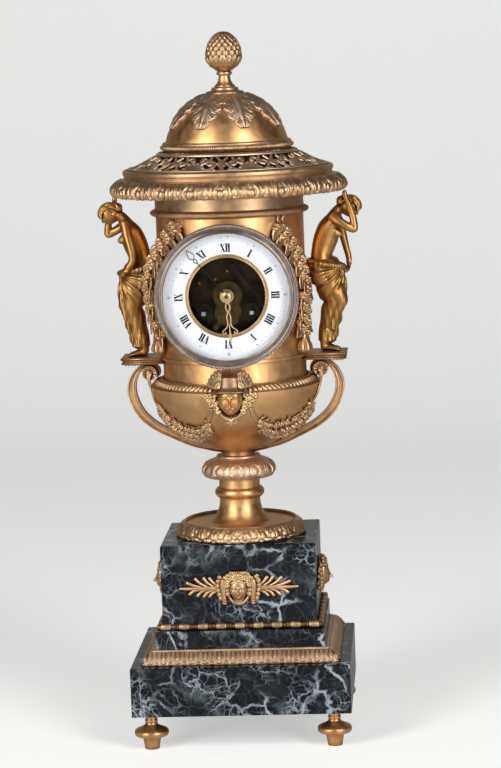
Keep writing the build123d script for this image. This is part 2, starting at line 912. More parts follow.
dome_foot_radius = sqrt(dome_radius**2 - dome_center_drop**2)
dome_inner_foot = sqrt((dome_radius - dome_wall) ** 2 - dome_center_drop**2)
dome_mid = dome_radius / sqrt(2)
dome_inner_mid = (dome_radius - dome_wall) / sqrt(2)
dome_crown = sqrt((dome_radius - dome_wall) ** 2 - finial_seat_radius**2)

# Dome, a spun shell flattened on top where the finial is seated
with BuildPart() as dome:
    with BuildSketch(Plane.XZ):
        with BuildLine():
            ThreePointArc(
                (dome_foot_radius, dome_bottom),
                (dome_mid, dome_center + dome_mid),
                (finial_seat_radius, dome_top),
            )
            Polyline(
                (finial_seat_radius, dome_top),
                (stud_radius, dome_top),
                (stud_radius, dome_center + dome_crown),
                (finial_seat_radius, dome_center + dome_crown),
            )
            ThreePointArc(
                (finial_seat_radius, dome_center + dome_crown),
                (dome_inner_mid, dome_center + dome_inner_mid),
                (dome_inner_foot, dome_bottom),
            )
            Line((dome_inner_foot, dome_bottom), (dome_foot_radius, dome_bottom))
        make_face()
    revolve(axis=Axis.Z)
dome.part.label = "dome"
export_step(dome.part, "parts/dome.step")

# Eight acanthus leaves laid down the dome
leaf_start = finial_seat_radius + dome_wall
leaf_end = leaf_start + dome_leaf_length
with BuildSketch() as dome_leaf:
    with BuildLine():
        for side in (-1, 1):
            ThreePointArc(
                (leaf_start, side * dome_leaf_width * 0.24),
                (leaf_start + dome_leaf_length * 0.5, side * dome_leaf_width * 0.48),
                (leaf_end, 0),
            )
        Line((leaf_start, -dome_leaf_width * 0.24), (leaf_start, dome_leaf_width * 0.24))
    make_face()
with BuildPart() as dome_leaves:
    with BuildSketch(Plane.XY.offset(dome_bottom)):
        with PolarLocations(0, dome_leaves_count, start_angle=180 / dome_leaves_count):
            add(dome_leaf.sketch)
    extrude(amount=dome_radius)
    with BuildSketch(Plane.XZ):
        with BuildLine():
            shell_in = dome_radius
            shell_out = dome_radius + dome_leaf_thickness
            ThreePointArc(
                (shell_in, dome_center),
                (shell_in / sqrt(2), dome_center + shell_in / sqrt(2)),
                (0, dome_center + shell_in),
            )
            Line((0, dome_center + shell_in), (0, dome_center + shell_out))
            ThreePointArc(
                (0, dome_center + shell_out),
                (shell_out / sqrt(2), dome_center + shell_out / sqrt(2)),
                (shell_out, dome_center),
            )
            Line((shell_out, dome_center), (shell_in, dome_center))
        make_face()
    revolve(axis=Axis.Z, mode=Mode.INTERSECT)
dome_leaves.part.label = "dome_leaves"
export_step(dome_leaves.part, "parts/dome_leaves.step")

# Turned base of the finial
step_rise = finial_base_height / 5
with BuildPart() as finial_base:
    with BuildSketch(Plane.XZ):
        with BuildLine():
            ring_bottom = finial_base_top - finial_ring_height
            Polyline(
                (finial_ring_radius * 0.8, finial_base_top),
                (0, finial_base_top),
                (0, dome_top),
                (finial_seat_radius * 0.97, dome_top),
                (finial_seat_radius * 0.94, dome_top + step_rise * 0.6),
                (finial_seat_radius * 0.7, dome_top + step_rise * 0.7),
                (finial_seat_radius * 0.66, dome_top + step_rise * 1.4),
                (finial_seat_radius * 0.5, dome_top + step_rise * 1.6),
            )
            ThreePointArc(
                (finial_seat_radius * 0.5, dome_top + step_rise * 1.6),
                (finial_neck_radius * 1.1, dome_top + step_rise * 2.5),
                (finial_neck_radius, ring_bottom),
            )
            ThreePointArc(
                (finial_neck_radius, ring_bottom),
                (finial_ring_radius, ring_bottom + finial_ring_height / 2),
                (finial_ring_radius * 0.8, finial_base_top),
            )
        make_face()
    revolve(axis=Axis.Z)
    with BuildSketch(Plane.XY.offset(dome_top)):
        Circle(stud_radius)
    extrude(amount=-dome_wall * 2)

# Pineapple in its calyx, cast with the base
with BuildPart() as finial:
    add(finial_base.part)
    with BuildSketch(Plane.XZ):
        with BuildLine():
            calyx_top = finial_base_top + finial_height * 0.42
            Polyline(
                (0, finial_base_top),
                (finial_ring_radius, finial_base_top),
            )
            ThreePointArc(
                (finial_ring_radius, finial_base_top),
                (calyx_radius * 0.84, finial_base_top + finial_height * 0.18),
                (calyx_radius, calyx_top),
            )
            Line((calyx_radius, calyx_top), (finial_radius, calyx_top + wall))
            Spline(
                (finial_radius, calyx_top + wall),
                (finial_radius * 0.83, finial_base_top + finial_height * 0.74),
                (finial_radius * 0.42, finial_base_top + finial_height * 0.94),
                (0, top),
                tangents=((0, 1), (-1, 0)),
            )
            Line((0, top), (0, finial_base_top))
        make_face()
    revolve(axis=Axis.Z)
finial.part.label = "finial"
export_step(finial.part, "parts/finial.step")

# Tie rod from the nut below the base to the nut in the bowl
rod_bottom = foot_height + nut_recess_depth - nut_height - rod_end
rod_top = collar_top + bowl_foot_height + wall + nut_height + rod_end
with BuildPart() as tie_rod:
    with BuildSketch(Plane.XY.offset(rod_bottom)):
        Circle(rod_radius)
    extrude(amount=rod_top - rod_bottom)
with BuildPart() as tie_nuts:
    for level in (foot_height + nut_recess_depth - nut_height, rod_top - rod_end - nut_height):
        with BuildSketch(Plane.XY.offset(level)):
            RegularPolygon(nut_width / 2, 6)
            Circle(rod_radius, mode=Mode.SUBTRACT)
        extrude(amount=nut_height)
tie_rod.part.label = "tie_rod"
export_step(tie_rod.part, "parts/tie_rod.step")
tie_nuts.part.label = "tie_nuts"
export_step(tie_nuts.part, "parts/tie_nuts.step")

# Two shelves let into the sides of the body, each with a strip of gadroons under its outer end
gadroon_middle = shelf_reach - gadroon_length / 2 - wall
with BuildPart() as shelves:
    with BuildSketch(Plane.XY.offset(shelf_bottom)):
        Rectangle(2 * shelf_reach, shelf_depth)
        Circle(body_lower_radius, mode=Mode.SUBTRACT)
    extrude(amount=shelf_thickness)
    chamfer(shelves.edges().group_by(Axis.Z)[0].filter_by(Axis.Y), shelf_thickness / 4)
    with BuildSketch(Plane.YZ.offset(gadroon_middle - gadroon_length / 2)) as gadroon_row:
        with Locations((0, shelf_bottom)):
            with GridLocations(shelf_depth / gadroon_count, 0, gadroon_count, 1):
                Circle(shelf_depth / gadroon_count / 2)
    extrude(amount=gadroon_length)
    with BuildSketch(Plane.YZ.offset(-gadroon_middle - gadroon_length / 2)):
        add(gadroon_row.sketch_local)
    extrude(amount=gadroon_length)
    add(urn_body.part, mode=Mode.SUBTRACT)
shelves.part.label = "shelves"
export_step(shelves.part, "parts/shelves.step")

# Scroll handle on the right: a band with a channel on both faces, ending in a rosette
handle_drop = shelf_bottom - collar_top
rosette_level = shelf_bottom - rosette_drop
handle_outer_shares = ((1.0, 0.72), (0.906, 0.45), (0.643, 0.213), (0.442, 0.105), (0.19, 0.03))
handle_inner_shares = ((0.919, 0.72), (0.838, 0.47), (0.606, 0.281), (0.42, 0.16), (0.19, 0.08))


def handle_band_outline():
    """Closed outline of the scroll's band, seen from the front."""
    outer = [(x * handle_reach, collar_top + z * handle_drop) for x, z in handle_outer_shares]
    inner = [(x * handle_reach, collar_top + z * handle_drop) for x, z in handle_inner_shares]
    crown = (rosette_offset + rosette_radius * 0.9, shelf_bottom)
    crown_inner = (rosette_offset + rosette_radius * 0.5, shelf_bottom - handle_band)
    Line((rosette_offset - rosette_radius * 0.3, shelf_bottom), crown)
    ThreePointArc(crown, (handle_reach * 0.964, shelf_bottom - handle_band * 1.1), outer[0])
    ThreePointArc(*outer[0:3])
    ThreePointArc(*outer[2:5])
    Line(outer[4], inner[4])
    ThreePointArc(*inner[4:1:-1])
    ThreePointArc(*inner[2::-1])
    ThreePointArc(
        inner[0], (handle_reach * 0.89, shelf_bottom - handle_band * 1.9), crown_inner
    )
    Polyline(
        crown_inner,
        (rosette_offset - rosette_radius * 0.3, shelf_bottom - handle_band),
        (rosette_offset - rosette_radius * 0.3, shelf_bottom),
    )


with BuildPart() as scroll_handle:
    with BuildSketch(Plane.XZ) as band:
        with BuildLine():
            handle_band_outline()
        make_face()
    extrude(amount=handle_width / 2, both=True)
    for side in (-1, 1):
        with BuildSketch(Plane.XZ.offset(side * handle_width / 2)):
            add(band.sketch_local)
            offset(amount=-handle_channel, mode=Mode.REPLACE)
        extrude(amount=-side * handle_channel, mode=Mode.SUBTRACT)
    with BuildSketch(Plane.XZ):
        with Locations((rosette_offset, rosette_level)):
            Circle(rosette_radius)
    extrude(amount=rosette_width / 2, both=True)
    with BuildSketch(Plane.XZ.offset(rosette_width / 2)):
        with Locations((rosette_offset, rosette_level)):
            Circle(rosette_radius * 0.36)
    extrude(amount=handle_channel)
    add(bowl_envelope.part, mode=Mode.SUBTRACT)
    add(shoulder_band.part, mode=Mode.SUBTRACT)
    add(shelves.part, mode=Mode.SUBTRACT)
with BuildPart() as handles:
    add(scroll_handle.part)
    mirror(scroll_handle.part, about=Plane.YZ)
handles.part.label = "handles"
export_step(handles.part, "parts/handles.step")


def limb(points, radii):
    """A limb of rounded tapering lengths through its points."""
    for start, end, radius, end_radius in zip(points, points[1:], radii, radii[1:]):
        direction = Vector(*end) - Vector(*start)
        ends = []
        for place, size in ((start, radius), (end, end_radius)):
            with BuildSketch(Plane(origin=place, z_dir=direction)) as limb_end:
                Circle(size)
            ends.append(limb_end.sketch)
        loft(ends)
        with Locations(end):
            Sphere(end_radius)


# Height, forward place, half width fore and aft, half width from side to side, as shares of
# a maiden's height, from the hem over the gathered drapery to the neck
maiden_shares = (
    (0.02, -0.016, 0.072, 0.082),
    (0.14, -0.004, 0.064, 0.074),
    (0.27, 0.024, 0.088, 0.086),
    (0.40, 0.024, 0.100, 0.094),
    (0.52, 0.008, 0.120, 0.102),
    (0.585, 0.000, 0.118, 0.104),
    (0.645, 0.000, 0.078, 0.074),
    (0.72, 0.012, 0.082, 0.078),
    (0.80, 0.047, 0.079, 0.094),
    (0.86, 0.072, 0.056, 0.100),
    (0.895, 0.096, 0.032, 0.038),
    (0.945, 0.125, 0.028, 0.030),
)


# Height over the chin, forward place, half depth and half width, as shares of a head's sizes
head_shares = (
    (0.0, 0.10, 0.26, 0.26),
    (0.22, 0.05, 0.40, 0.42),
    (0.5, 0.0, 0.50, 0.50),
    (0.78, -0.03, 0.44, 0.46),
    (1.0, -0.06, 0.20, 0.22),
)


def maiden_figure(side):
    """Draped body, head, bun and feet of a maiden on one side, facing outwards."""
    sections = []
    for height, forward, fore, beside in maiden_shares:
        level = shelf_top + height * figure_height
        across = side * (figure_offset + forward * figure_height)
        with BuildSketch(Plane.XY.offset(level)) as section:
            with Locations((across, 0)):
                Ellipse(fore * figure_height, beside * figure_height)
        sections.append(section.sketch)
    loft(sections, ruled=True)
    chin_level = shelf_top + figure_height * 0.887
    head_sections = []
    for height, forward, fore, beside in head_shares:
        level = chin_level + height * figure_head_height
        with BuildSketch(Plane.XY.offset(level)) as section:
            with Locations((side * (figure_head_offset + forward * figure_head_depth), 0)):
                Ellipse(fore * figure_head_depth, beside * figure_head_width)
        head_sections.append(section.sketch)
    loft(head_sections, ruled=True)
    bun_offset = figure_head_offset - figure_head_depth * 0.56
    with Locations((side * bun_offset, 0, chin_level + figure_head_height * 0.7)):
        Sphere(figure_bun_radius)
    with BuildSketch(Plane.XY.offset(shelf_top)) as soles:
        for foot_side in (-1, 1):
            toe_offset = figure_offset + foot_length * 0.12
            with Locations((side * toe_offset, foot_side * foot_width * 0.62)):
                Ellipse(foot_length / 2, foot_width / 2)
    extrude(soles.sketch, amount=sole_height)


def figure_spot(side, forward, beside, height):
    """A point on a maiden, as shares of the height from the middle of the feet."""
    return (
        side * (figure_offset + forward * figure_height),
        beside * figure_height,
        shelf_top + height * figure_height,
    )


arm_radii = (arm_radius, arm_radius * 0.8, wrist_radius)

# Maiden on the right: near arm raised to the cornice, far arm down to the gathered drapery
with BuildPart() as maiden_right:
    maiden_figure(1)
    limb(
        (
            figure_spot(1, 0.047, -0.094, 0.867),
            figure_spot(1, 0.188, -0.117, 0.82),
            figure_spot(1, 0.136, -0.047, 1.08),
        ),
        arm_radii,
    )
    limb(
        (
            figure_spot(1, 0.047, 0.094, 0.867),
            figure_spot(1, 0.078, 0.156, 0.703),
            figure_spot(1, 0.117, 0.1, 0.523),
        ),
        arm_radii,
    )
    with BuildSketch(Plane.XY.offset(neck_top)):
        Circle(cornice_radius * 2)
    extrude(amount=cornice_height, mode=Mode.SUBTRACT)
maiden_right.part.label = "maiden_right"
export_step(maiden_right.part, "parts/maiden_right.step")

# Maiden on the left: far arm raised to the cornice, near arm bent across to the drapery
with BuildPart() as maiden_left:
    maiden_figure(-1)
    limb(
        (
            figure_spot(-1, 0.047, 0.094, 0.867),
            figure_spot(-1, 0.188, 0.117, 0.82),
            figure_spot(-1, 0.14, 0.04, 1.08),
        ),
        arm_radii,
    )
    limb(
        (
            figure_spot(-1, 0.047, -0.094, 0.867),
            figure_spot(-1, 0.055, -0.164, 0.66),
            figure_spot(-1, 0.117, -0.1, 0.55),
        ),
        arm_radii,
    )
    with BuildSketch(Plane.XY.offset(neck_top)):
        Circle(cornice_radius * 2)
    extrude(amount=cornice_height, mode=Mode.SUBTRACT)
maiden_left.part.label = "maiden_left"
export_step(maiden_left.part, "parts/maiden_left.step")

# Garland of roses and leaves down each side of the dial, hugging the body
garland_shares = (
    (0.74, 0.68, 0.42),
    (0.80, 0.55, 0.50),
    (0.90, 0.40, 0.52),
    (0.99, 0.24, 0.46),
    (1.04, 0.06, 0.50),
    (1.05, -0.14, 0.50),
    (1.03, -0.34, 0.48),
    (0.99, -0.52, 0.46),
    (0.95, -0.68, 0.42),
)
with BuildPart() as garlands:
    with BuildSketch(facing(-shelf_depth / 2 - part_gap)):
        for side in (-1, 1):
            for across, rise, size in garland_shares:
                with Locations((side * across * body_radius, rise * body_height / 2)):
                    RegularPolygon(size * garland_width, 8)
    extrude(amount=body_radius)
    with BuildSketch(Plane.XY.offset(shelf_top)):
        Circle(body_radius + garland_relief)
        Circle(body_radius, mode=Mode.SUBTRACT)
    extrude(amount=body_top - shelf_top, mode=Mode.INTERSECT)
    add(urn_body.part, mode=Mode.SUBTRACT)
    with BuildSketch(facing(0)):
        Circle(drum_radius)
    extrude(amount=body_radius + garland_relief, mode=Mode.SUBTRACT)
garlands.part.label = "garlands"
export_step(garlands.part, "parts/garlands.step")

# Festoons of flowers on the bowl, one on each side of the mask
festoon_shares = (
    (0.83, 0.66, 1.1),
    (0.76, 0.54, 1.2),
    (0.66, 0.47, 1.3),
    (0.54, 0.43, 1.3),
    (0.43, 0.43, 1.2),
    (0.335, 0.50, 1.0),
    (0.315, 0.62, 0.7),
)
with BuildPart() as festoons:
    with BuildSketch(Plane.XZ.offset(handle_width / 2 + part_gap)):
        for side in (-1, 1):
            for across, rise, size in festoon_shares:
                place = (side * across * bowl_rim_radius, collar_top + rise * bowl_height)
                with Locations(place):
                    RegularPolygon(size * festoon_relief, 8)
    extrude(amount=bowl_rim_radius)
    with BuildSketch(Plane.XZ):
        with BuildLine():
            bowl_outline(festoon_relief)
            Polyline(
                (bowl_rim_radius + festoon_relief, bowl_top),
                (0, bowl_top),
                (0, collar_top + bowl_foot_height - festoon_relief),
                (bowl_foot_radius + festoon_relief, collar_top + bowl_foot_height - festoon_relief),
            )
        make_face()
    revolve(axis=Axis.Z, mode=Mode.INTERSECT)
    add(bowl_envelope.part, mode=Mode.SUBTRACT)
festoons.part.label = "festoons"
export_step(festoons.part, "parts/festoons.step")

# Mask in a winged hat on the front of the bowl
mask_level = collar_top + mask_rise
brim_level = mask_level + mask_height * 0.54
mask_depth = -bowl_rim_radius + wall * 0.6
# Places and sizes of the mask's round masses: across and up from its middle, and the radius
mask_shares = ((0.68, 0.30, 0.33), (0.52, -0.12, 0.24), (0, -0.38, 0.26))
with BuildPart() as winged_mask:
    with BuildSketch(Plane(origin=(0, mask_depth, mask_level), x_dir=(1, 0, 0), z_dir=(0, -1, 0))):
        Ellipse(mask_width / 2, mask_height / 2)
        Rectangle(mask_width, mask_height, align=(Align.MAX, Align.CENTER), mode=Mode.SUBTRACT)
    revolve(axis=Axis((0, mask_depth, mask_level), (0, 0, 1)))
    with BuildSketch(Plane.XY.offset(brim_level)):
        with Locations((0, mask_depth)):
            Ellipse(hat_brim_width / 2, mask_width * 0.6)
    extrude(amount=wall)
    with BuildSketch(Plane.XY.offset(brim_level + wall)):
        with Locations((0, mask_depth)):
            Ellipse(hat_brim_width * 0.34, mask_width * 0.5)
    extrude(amount=hat_height, taper=24)
    with BuildSketch(Plane.XZ.offset(mask_width * 0.2 - mask_depth)):
        for side in (-1, 1):
            wing_spot = (side * hat_wing_spread * 0.94, brim_level + hat_wing_height * 0.6, 0)
            with Locations(Location(wing_spot, (0, 0, side * 18))):
                Ellipse(hat_wing_height * 0.28, hat_wing_height * 0.6)
            for across, rise, size in mask_shares:
                with Locations((side * across * mask_width, mask_level + rise * mask_height)):
                    RegularPolygon(size * mask_width, 8)
    extrude(amount=-mask_relief)
    add(bowl_envelope.part, mode=Mode.SUBTRACT)
    add(shoulder_band.part, mode=Mode.SUBTRACT)
    with BuildSketch(Plane.XY.offset(collar_top)):
        Circle(body_step_radius)
    extrude(amount=bowl_height + body_height, mode=Mode.SUBTRACT)
winged_mask.part.label = "winged_mask"
export_step(winged_mask.part, "parts/winged_mask.step")

# Drum that carries the dial and the movement, with a lug for each strap and a hinge knuckle
knuckle_offset = drum_radius + hinge_radius + part_gap * 0.75
knuckle_depth = drum_front + hinge_setback
hinge_reach = knuckle_length * 1.5 + part_gap
strap_face = rear_ring_radius - strap_inset
drum_web = drum_radius - drum_wall / 2
lug_run = drum_web - strap_face
with BuildPart() as dial_drum:
    with BuildSketch(facing(drum_back)):
        Circle(drum_radius)
        Circle(drum_radius - drum_wall, mode=Mode.SUBTRACT)
    extrude(amount=drum_back - drum_front)
    with BuildSketch(facing(drum_back)):
        for side in (-1, 1):
            with Locations((side * (strap_face + lug_run / 2), 0)):
                Rectangle(lug_run, lug_height)
    extrude(amount=lug_depth)
    with BuildSketch(Plane.XY.offset(dial_z - knuckle_length / 2)):
        with Locations((-knuckle_offset, knuckle_depth)):
            Circle(hinge_radius)
        with Locations((-(knuckle_offset + drum_web) / 2, knuckle_depth)):
            Rectangle(knuckle_offset - drum_web, hinge_radius)
    extrude(amount=knuckle_length)
    with BuildSketch(Plane.XY.offset(dial_z - knuckle_length / 2)):
        with Locations((-knuckle_offset, knuckle_depth)):
            Circle(hinge_pin_radius)
    extrude(amount=knuckle_length, mode=Mode.SUBTRACT)
dial_drum.part.label = "dial_drum"
export_step(dial_drum.part, "parts/dial_drum.step")

# Hinged bezel: a turned ring with a seat for the glass and two knuckles behind its left edge
bezel_back = drum_front - part_gap
bezel_front = bezel_back - bezel_depth
glass_front = bezel_front + glass_seat
glass_radius = bezel_sight_radius + glass_seat
knuckle_run = knuckle_depth - bezel_back
with BuildPart() as dial_bezel:
    with BuildSketch(dial_section):
        with BuildLine():
            Polyline(
                (bezel_sight_radius, bezel_front),
                (bezel_sight_radius, glass_front),
                (glass_radius, glass_front),
                (glass_radius, bezel_back),
                (bezel_radius, bezel_back),
                (bezel_radius, bezel_back - bezel_depth * 0.5),
            )
            ThreePointArc(
                (bezel_radius, bezel_back - bezel_depth * 0.5),
                (bezel_radius - bezel_depth * 0.22, bezel_front + bezel_depth * 0.16),
                (bezel_radius - bezel_depth * 0.6, bezel_front),
            )
            Line((bezel_radius - bezel_depth * 0.6, bezel_front), (bezel_sight_radius, bezel_front))
        make_face()
    revolve(axis=dial_axis)
    for side in (-1, 1):
        level = dial_z + side * (knuckle_length + part_gap) - knuckle_length / 2
        with BuildSketch(Plane.XY.offset(level)):
            with Locations((-knuckle_offset, knuckle_depth)):
                Circle(hinge_radius)
            with Locations((-knuckle_offset + hinge_radius / 2, knuckle_depth)):
                Rectangle(hinge_radius, knuckle_run + wall, align=(Align.CENTER, Align.MAX))
        extrude(amount=knuckle_length)
        with BuildSketch(Plane.XY.offset(level)):
            with Locations((-knuckle_offset, knuckle_depth)):
                Circle(hinge_pin_radius + fit_gap)
        extrude(amount=knuckle_length, mode=Mode.SUBTRACT)
dial_bezel.part.label = "dial_bezel"
export_step(dial_bezel.part, "parts/dial_bezel.step")

# Bezel glass
with BuildPart() as dial_glass:
    with BuildSketch(facing(glass_front + glass_thickness)):
        Circle(glass_radius)
    extrude(amount=glass_thickness)
    chamfer(dial_glass.edges().group_by(Axis.Y)[0], glass_thickness / 4)
dial_glass.part.label = "dial_glass"
export_step(dial_glass.part, "parts/dial_glass.step")

# Rear ring, rear door and their hinge, laid out as at the front
rear_knuckle_offset = rear_ring_radius + hinge_radius + part_gap * 0.75
rear_knuckle_depth = rear_ring_back - hinge_setback
door_front = rear_ring_back + part_gap
rear_run = door_front - rear_knuckle_depth + rear_door_thickness / 2
rear_web = rear_ring_radius - rear_ring_wall / 2
with BuildPart() as rear_ring:
    with BuildSketch(facing(rear_ring_back)):
        Circle(rear_ring_radius)
        Circle(rear_ring_radius - rear_ring_wall, mode=Mode.SUBTRACT)
    extrude(amount=rear_ring_back - rear_ring_front)
    with BuildSketch(facing(rear_ring_back - lug_depth / 2)):
        for side in (-1, 1):
            with Locations((side * (strap_face + rear_web) / 2, 0)):
                Rectangle(rear_web - strap_face, lug_height)
    extrude(amount=lug_depth)
    with BuildSketch(Plane.XY.offset(dial_z - knuckle_length / 2)):
        with Locations((rear_knuckle_offset, rear_knuckle_depth)):
            Circle(hinge_radius)
        with Locations(((rear_knuckle_offset + rear_web) / 2, rear_knuckle_depth)):
            Rectangle(rear_knuckle_offset - rear_web, hinge_radius)
    extrude(amount=knuckle_length)
    with BuildSketch(Plane.XY.offset(dial_z - knuckle_length / 2)):
        with Locations((rear_knuckle_offset, rear_knuckle_depth)):
            Circle(hinge_pin_radius)
    extrude(amount=knuckle_length, mode=Mode.SUBTRACT)
rear_ring.part.label = "rear_ring"
export_step(rear_ring.part, "parts/rear_ring.step")

with BuildPart() as rear_door:
    with BuildSketch(facing(door_front)):
        Circle(rear_door_radius)
    extrude(amount=-rear_door_thickness)
    with BuildSketch(facing(door_front + rear_door_thickness)):
        with Locations((-rear_door_radius * 0.82, 0)):
            Circle(rear_knob_radius)
    extrude(amount=-rear_knob_radius)
    for side in (-1, 1):
        level = dial_z + side * (knuckle_length + part_gap) - knuckle_length / 2
        with BuildSketch(Plane.XY.offset(level)):
            with Locations((rear_knuckle_offset, rear_knuckle_depth)):
                Circle(hinge_radius)
            with Locations((rear_knuckle_offset - hinge_radius / 2, rear_knuckle_depth)):
                Rectangle(hinge_radius, rear_run, align=(Align.CENTER, Align.MIN))
        extrude(amount=knuckle_length)
        with BuildSketch(Plane.XY.offset(level)):
            with Locations((rear_knuckle_offset, rear_knuckle_depth)):
                Circle(hinge_pin_radius + fit_gap)
        extrude(amount=knuckle_length, mode=Mode.SUBTRACT)
rear_door.part.label = "rear_door"
export_step(rear_door.part, "parts/rear_door.step")

with BuildPart() as hinge_pins:
    with BuildSketch(Plane.XY.offset(dial_z - hinge_reach)):
        with Locations((-knuckle_offset, knuckle_depth), (rear_knuckle_offset, rear_knuckle_depth)):
            Circle(hinge_pin_radius)
    extrude(amount=2 * hinge_reach)
hinge_pins.part.label = "hinge_pins"
export_step(hinge_pins.part, "parts/hinge_pins.step")

# Two straps that draw the drum and the rear ring together
with BuildPart() as straps:
    with BuildSketch(facing(rear_ring_back - lug_depth / 2)):
        for side in (-1, 1):
            with Locations((side * (strap_face - strap_thickness / 2), 0)):
                Rectangle(strap_thickness, strap_width)
    extrude(amount=rear_ring_back - lug_depth / 2 - drum_back + lug_depth)
straps.part.label = "straps"
export_step(straps.part, "parts/straps.step")

# Dial pan: a plate behind the enamel with a tube and lip in its centre, on three posts
pan_back = pan_front + pan_thickness
enamel_front = pan_front - enamel_thickness
with BuildPart() as dial_pan:
    with BuildSketch(facing(pan_back)):
        Circle(drum_radius - drum_wall)
        Circle(pan_inner_radius, mode=Mode.SUBTRACT)
        with Locations((0, regulator_rise)):
            Circle(regulator_radius + fit_gap, mode=Mode.SUBTRACT)
    extrude(amount=pan_thickness)
    with BuildSketch(facing(pan_front)):
        Circle(enamel_inner_radius)
        Circle(pan_inner_radius, mode=Mode.SUBTRACT)
    extrude(amount=enamel_thickness)
    with BuildSketch(facing(enamel_front)):
        Circle(sight_ring_radius)
        Circle(pan_inner_radius, mode=Mode.SUBTRACT)
    extrude(amount=sight_ring_flange)
    with BuildSketch(facing(front_plate_front)):
        with PolarLocations(pan_post_circle, 3, start_angle=30):
            Circle(pan_post_radius)
    extrude(amount=front_plate_front - pan_back)
dial_pan.part.label = "dial_pan"
export_step(dial_pan.part, "parts/dial_pan.step")

# Enamel ring
with BuildPart() as enamel_dial:
    with BuildSketch(facing(pan_front)):
        Circle(enamel_radius)
        Circle(enamel_inner_radius, mode=Mode.SUBTRACT)
        with Locations((0, regulator_rise)):
            Circle(regulator_hole_radius, mode=Mode.SUBTRACT)
    extrude(amount=enamel_thickness)
enamel_dial.part.label = "enamel_dial"
export_step(enamel_dial.part, "parts/enamel_dial.step")

# Places of the arbors, seen from the front and measured from the dial's centre
going_spot = (winding_spread, -winding_drop)
strike_spot = (-winding_spread, -winding_drop)
minute_spot = (0, -minute_wheel_drop)
third_spot = (third_offset, third_rise)
escape_spot = (0, escape_rise)
pallet_spot = (0, pendulum_pivot_rise)
barrel_reach = hypot(winding_spread, winding_drop)
pin_spot = (
    strike_spot[0] + barrel_reach * sin(radians(pin_wheel_bearing)),
    strike_spot[1] + barrel_reach * cos(radians(pin_wheel_bearing)),
)
hammer_spot = (-hammer_offset, hammer_rise)
post_spot = (bell_post_offset, -bell_post_drop)
bell_bar_back = bell_front - bell_bar_gap
lever_spot = (lever_offset, lever_rise)
back_plate_back = back_plate_front + plate_thickness
plate_gap = back_plate_front - front_plate_front - plate_thickness
minute_cock_back = minute_wheel_front - minute_pinion_length - part_gap
minute_cock_front = minute_cock_back - wheel_thickness


def drill_plate():
    """Holes that both plates share: the centre, two winding arbors and the small pivots."""
    Circle(arbor_radius + fit_gap, mode=Mode.SUBTRACT)
    with Locations(going_spot, strike_spot):
        Circle(winding_radius + fit_gap, mode=Mode.SUBTRACT)
    with Locations(third_spot, escape_spot, pallet_spot, pin_spot, hammer_spot):
        Circle(pivot_radius + fit_gap, mode=Mode.SUBTRACT)


def add_toothed(plane, teeth, pitch_radius, turn, thickness):
    """A toothed disc whose front is thicker than its plane by the thickness."""
    with BuildSketch(plane) as disc:
        with BuildLine():
            Polyline(*toothed_outline(teeth, pitch_radius, turn), close=True)
        make_face()
    extrude(disc.sketch, amount=thickness)


def add_rod(plane, radius, length):
    """A plain round rod that runs forwards from its plane."""
    with BuildSketch(plane) as rod_end_face:
        Circle(radius)
    extrude(rod_end_face.sketch, amount=length)


# Front plate with the stud of the minute wheel and the stud of the strike lever
with BuildPart() as front_plate:
    with BuildSketch(facing(front_plate_front + plate_thickness)):
        Circle(plate_radius)
        drill_plate()
    extrude(amount=plate_thickness)
    with BuildSketch(facing(front_plate_front)):
        with Locations(minute_spot):
            Circle(pivot_radius)
    extrude(amount=front_plate_front - minute_cock_front)
    with BuildSketch(facing(front_plate_front)):
        with Locations(lever_spot):
            Circle(pivot_radius)
    extrude(amount=lever_thickness + part_gap)
front_plate.part.label = "front_plate"
export_step(front_plate.part, "parts/front_plate.step")

# Back plate with its riveted pillars and the stand that holds the bell
with BuildPart() as back_plate:
    with BuildSketch(facing(back_plate_back)):
        Circle(plate_radius)
        drill_plate()
    extrude(amount=plate_thickness)
    with BuildSketch(facing(back_plate_front)):
        for bearing in (-pillar_bearing, pillar_bearing, 180):
            pillar_angle = radians(bearing)
            with Locations((pillar_circle * sin(pillar_angle), pillar_circle * cos(pillar_angle))):
                Circle(pillar_radius)
    extrude(amount=plate_gap)
    add_rod(facing(bell_bar_back, *post_spot), bell_post_radius, bell_bar_back - back_plate_back)
    with BuildSketch(facing(bell_bar_back)):
        with BuildLine() as bar_line:
            Line(post_spot, (0, 0))
        SlotArc(bar_line.wire(), bell_bar_width)
    extrude(amount=cock_thickness)
    bell_stud_back = bell_front + bell_depth + bell_post_radius
    add_rod(facing(bell_stud_back), bell_post_radius, bell_stud_back - bell_bar_back)
back_plate.part.label = "back_plate"
export_step(back_plate.part, "parts/back_plate.step")

# Going barrel on the right, toothed at its back, and strike barrel on the left, toothed at its front
center_pinion_pitch = pitch_share(barrel_reach, pinion_teeth, barrel_teeth)
barrel_pitch = pitch_share(barrel_reach, barrel_teeth, pinion_teeth)
for spot, rim_back, name in (
    (going_spot, barrel_back, "going_barrel"),
    (strike_spot, barrel_front + barrel_rim_thickness, "strike_barrel"),
):
    with BuildPart() as barrel:
        with BuildSketch(facing(barrel_back, *spot)):
            Circle(barrel_radius)
        extrude(amount=barrel_back - barrel_front)
        with BuildSketch(facing(rim_back, *spot)):
            with BuildLine():
                Polyline(*toothed_outline(barrel_teeth, barrel_pitch), close=True)
            make_face()
        extrude(amount=barrel_rim_thickness)
        with BuildSketch(facing(barrel_back, *spot)):
            Circle(winding_radius + fit_gap)
        extrude(amount=barrel_back - barrel_front, mode=Mode.SUBTRACT)
    barrel.part.label = name
    export_step(barrel.part, f"parts/{name}.step")

